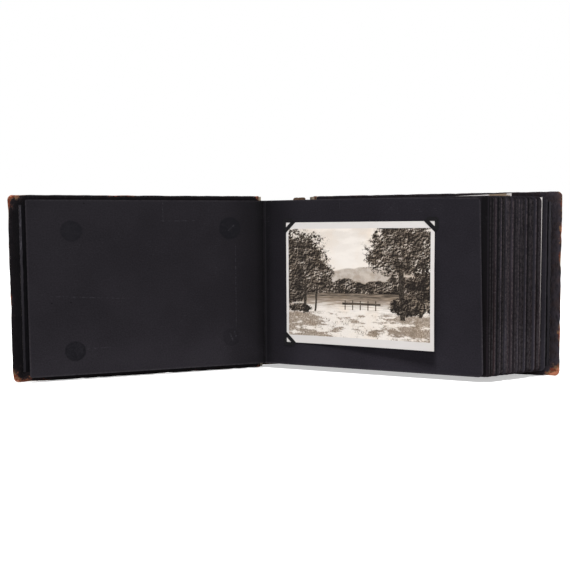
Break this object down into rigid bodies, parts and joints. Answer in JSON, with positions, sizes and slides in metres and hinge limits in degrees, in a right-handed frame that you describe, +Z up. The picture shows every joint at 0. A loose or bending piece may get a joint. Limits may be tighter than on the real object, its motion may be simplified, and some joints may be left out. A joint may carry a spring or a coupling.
{
  "type": "photo album",
  "caption": "Landscape leather photo album standing open in a V on its tail edges, with black leaves, a mounted print and loose prints",
  "frame": {"origin": "The centre of the foot of the spine leather, on the surface that the album stands on.", "axes": "+Z is up. +X runs along the open album, from the front cover to the back cover. +Y points out of the spine, away from the open pages."},
  "size_m": [0.437, 0.1012, 0.148],
  "materials": {
    "leather": "black grained leather, worn red-brown at edges and corners",
    "grey_board": "plain grey board",
    "leaf_paper": "matt charcoal-black album paper, scuffed",
    "guard_paper": "matt dark paper",
    "pastedown_paper": "smooth black paper with a slight gloss",
    "lining_cloth": "open-weave bookbinding cloth",
    "wire": "dull steel wire",
    "print_paper": "glossy photographic paper with a sepia picture and a white border",
    "corner_paper": "black gummed paper with a slight gloss"
  },
  "bodies": {
    "binding": {"spine_leather": "leather", "spine_inlay": "grey_board", "spine_lining": "lining_cloth", "front_binding_strip": "grey_board", "back_binding_strip": "grey_board", "leaf_stubs": "leaf_paper", "stub_guards": "guard_paper", "stitch_wires": "wire"},
    "front_joint": {"front_joint_leather": "leather"},
    "front_cover": {"front_board": "grey_board", "front_cover_leather": "leather", "front_pastedown": "pastedown_paper"},
    "back_joint": {"back_joint_leather": "leather"},
    "back_cover": {"back_board": "grey_board", "back_cover_leather": "leather", "back_pastedown": "pastedown_paper"},
    "front_flyleaf": {"flyleaf": "leaf_paper"},
    "leaf_strip": {"first_leaf_strip": "leaf_paper"},
    "open_leaf": {"first_leaf": "leaf_paper", "mounted_print": "print_paper", "photo_corners": "corner_paper"},
    "section_01": {"leaf_section_01": "leaf_paper"},
    "section_02": {"leaf_section_02": "leaf_paper"},
    "section_03": {"leaf_section_03": "leaf_paper"},
    "section_04": {"leaf_section_04": "leaf_paper"},
    "section_05": {"leaf_section_05": "leaf_paper"},
    "section_06": {"leaf_section_06": "leaf_paper"},
    "section_07": {"leaf_section_07": "leaf_paper"},
    "section_08": {"leaf_section_08": "leaf_paper"},
    "section_09": {"leaf_section_09": "leaf_paper"},
    "section_10": {"leaf_section_10": "leaf_paper"},
    "section_11": {"leaf_section_11": "leaf_paper"},
    "section_12": {"leaf_section_12": "leaf_paper"},
    "section_13": {"leaf_section_13": "leaf_paper"},
    "section_14": {"leaf_section_14": "leaf_paper"},
    "section_15": {"leaf_section_15": "leaf_paper"},
    "section_16": {"leaf_section_16": "leaf_paper", "back_flyleaf": "leaf_paper"},
    "top_print": {"top_loose_print": "print_paper"},
    "side_print": {"side_loose_print": "print_paper"}
  },
  "joints": [
    {"name": "front_joint_fold", "type": "hinge", "parent": "binding", "child": "front_joint", "pos_m": [-0.02241, -0.01504, 0], "axis": [0, 0, 1], "range_deg": [0, 82.71]},
    {"name": "front_cover_swing", "type": "hinge", "parent": "front_joint", "child": "front_cover", "pos_m": [-0.02393, -0.01554, 0], "axis": [0, 0, 1], "range_deg": [-95, 0]},
    {"name": "flyleaf_turn", "type": "hinge", "parent": "binding", "child": "front_flyleaf", "pos_m": [-0.01888, -0.01957, 0], "axis": [0, 0, 1], "range_deg": [0, 82.11]},
    {"name": "section_01_turn", "type": "hinge", "parent": "binding", "child": "section_01", "pos_m": [-0.01565, -0.01894, 0], "axis": [0, 0, -1], "range_deg": [0, 55.28]},
    {"name": "section_02_turn", "type": "hinge", "parent": "binding", "child": "section_02", "pos_m": [-0.01309, -0.01845, 0], "axis": [0, 0, -1], "range_deg": [0, 55.69]},
    {"name": "section_03_turn", "type": "hinge", "parent": "binding", "child": "section_03", "pos_m": [-0.01052, -0.01795, 0], "axis": [0, 0, -1], "range_deg": [0, 56.09]},
    {"name": "section_04_turn", "type": "hinge", "parent": "binding", "child": "section_04", "pos_m": [-0.00796, -0.01745, 0], "axis": [0, 0, -1], "range_deg": [0, 56.5]},
    {"name": "section_05_turn", "type": "hinge", "parent": "binding", "child": "section_05", "pos_m": [-0.0054, -0.01695, 0], "axis": [0, 0, -1], "range_deg": [0, 56.91]},
    {"name": "section_06_turn", "type": "hinge", "parent": "binding", "child": "section_06", "pos_m": [-0.00284, -0.01645, 0], "axis": [0, 0, -1], "range_deg": [0, 57.31]},
    {"name": "section_07_turn", "type": "hinge", "parent": "binding", "child": "section_07", "pos_m": [-0.00028, -0.01596, 0], "axis": [0, 0, -1], "range_deg": [0, 57.72]},
    {"name": "section_08_turn", "type": "hinge", "parent": "binding", "child": "section_08", "pos_m": [0.00229, -0.01546, 0], "axis": [0, 0, -1], "range_deg": [0, 58.12]},
    {"name": "section_09_turn", "type": "hinge", "parent": "binding", "child": "section_09", "pos_m": [0.00485, -0.01496, 0], "axis": [0, 0, -1], "range_deg": [0, 58.53]},
    {"name": "section_10_turn", "type": "hinge", "parent": "binding", "child": "section_10", "pos_m": [0.00741, -0.01446, 0], "axis": [0, 0, -1], "range_deg": [0, 58.94]},
    {"name": "section_11_turn", "type": "hinge", "parent": "binding", "child": "section_11", "pos_m": [0.00997, -0.01396, 0], "axis": [0, 0, -1], "range_deg": [0, 59.34]},
    {"name": "section_12_turn", "type": "hinge", "parent": "binding", "child": "section_12", "pos_m": [0.01253, -0.01347, 0], "axis": [0, 0, -1], "range_deg": [0, 59.75]},
    {"name": "section_13_turn", "type": "hinge", "parent": "binding", "child": "section_13", "pos_m": [0.0151, -0.01297, 0], "axis": [0, 0, -1], "range_deg": [0, 60.16]},
    {"name": "section_14_turn", "type": "hinge", "parent": "binding", "child": "section_14", "pos_m": [0.01766, -0.01247, 0], "axis": [0, 0, -1], "range_deg": [0, 60.56]},
    {"name": "section_15_turn", "type": "hinge", "parent": "binding", "child": "section_15", "pos_m": [0.02022, -0.01197, 0], "axis": [0, 0, -1], "range_deg": [0, 60.97]},
    {"name": "section_16_turn", "type": "hinge", "parent": "binding", "child": "section_16", "pos_m": [0.02278, -0.01147, 0], "axis": [0, 0, -1], "range_deg": [0, 61.37]},
    {"name": "back_joint_fold", "type": "hinge", "parent": "binding", "child": "back_joint", "pos_m": [0.02641, -0.00555, 0], "axis": [0, 0, -1], "range_deg": [0, 61.11]},
    {"name": "back_cover_swing", "type": "hinge", "parent": "back_joint", "child": "back_cover", "pos_m": [0.02793, -0.00605, 0], "axis": [0, 0, 1], "range_deg": [0, 110]},
    {"name": "first_leaf_strip_fold", "type": "hinge", "parent": "binding", "child": "leaf_strip", "pos_m": [-0.01736, -0.01928, 0], "axis": [0, 0, -1], "range_deg": [0, 55.01]},
    {"name": "first_leaf_turn", "type": "hinge", "parent": "leaf_strip", "child": "open_leaf", "pos_m": [-0.01279, -0.02131, 0], "axis": [0, 0, 1], "range_deg": [-129, 0]},
    {"name": "top_print_slide", "type": "slide", "parent": "section_09", "child": "top_print", "axis": [0, 0, 1], "range_m": [0, 0.12]},
    {"name": "side_print_slide", "type": "slide", "parent": "section_15", "child": "side_print", "axis": [0.9519, -0.3063, 0], "range_m": [0, 0.1]}
  ],
  "couplings": [
    {"joint": "front_joint_fold", "follows": "section_16_turn", "ratio": 1.3477},
    {"joint": "flyleaf_turn", "follows": "section_16_turn", "ratio": 1.3379},
    {"joint": "section_01_turn", "follows": "section_16_turn", "ratio": 0.9007},
    {"joint": "section_02_turn", "follows": "section_16_turn", "ratio": 0.90732},
    {"joint": "section_03_turn", "follows": "section_16_turn", "ratio": 0.91394},
    {"joint": "section_04_turn", "follows": "section_16_turn", "ratio": 0.92056},
    {"joint": "section_05_turn", "follows": "section_16_turn", "ratio": 0.92718},
    {"joint": "section_06_turn", "follows": "section_16_turn", "ratio": 0.9338},
    {"joint": "section_07_turn", "follows": "section_16_turn", "ratio": 0.94042},
    {"joint": "section_08_turn", "follows": "section_16_turn", "ratio": 0.94704},
    {"joint": "section_09_turn", "follows": "section_16_turn", "ratio": 0.95366},
    {"joint": "section_10_turn", "follows": "section_16_turn", "ratio": 0.96028},
    {"joint": "section_11_turn", "follows": "section_16_turn", "ratio": 0.9669},
    {"joint": "section_12_turn", "follows": "section_16_turn", "ratio": 0.97352},
    {"joint": "section_13_turn", "follows": "section_16_turn", "ratio": 0.98014},
    {"joint": "section_14_turn", "follows": "section_16_turn", "ratio": 0.98676},
    {"joint": "section_15_turn", "follows": "section_16_turn", "ratio": 0.99338},
    {"joint": "back_joint_fold", "follows": "section_16_turn", "ratio": 0.99569},
    {"joint": "first_leaf_strip_fold", "follows": "section_16_turn", "ratio": 0.89628}
  ]
}
